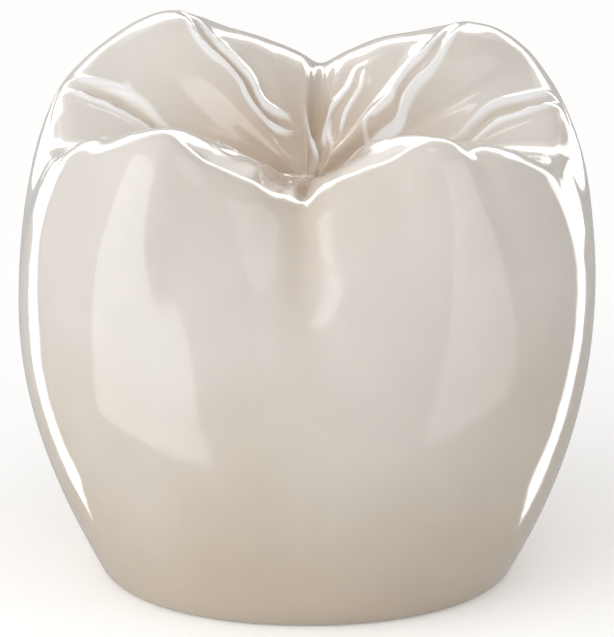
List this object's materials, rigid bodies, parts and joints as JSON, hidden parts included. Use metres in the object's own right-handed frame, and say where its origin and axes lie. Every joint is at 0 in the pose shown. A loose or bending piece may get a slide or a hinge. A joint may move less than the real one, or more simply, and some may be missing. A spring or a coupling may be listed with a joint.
{
  "type": "ceramic dental crown",
  "caption": "glazed ceramic crown for a lower molar, with cusps and grooves on top and a hollow that fits over a prepared tooth",
  "frame": {"origin": "middle of the crown's outline, on the plane of its margin", "axes": "+X along the row of teeth, -Y to the cheek side, +Y to the tongue side, +Z to the chewing surface"},
  "size_m": [0.011, 0.0094, 0.0103],
  "materials": {
    "glazed_ceramic": "glossy fired glaze, light warm ivory, more chromatic towards the margin"
  },
  "bodies": {
    "root": {"crown": "glazed_ceramic"}
  },
  "joints": []
}
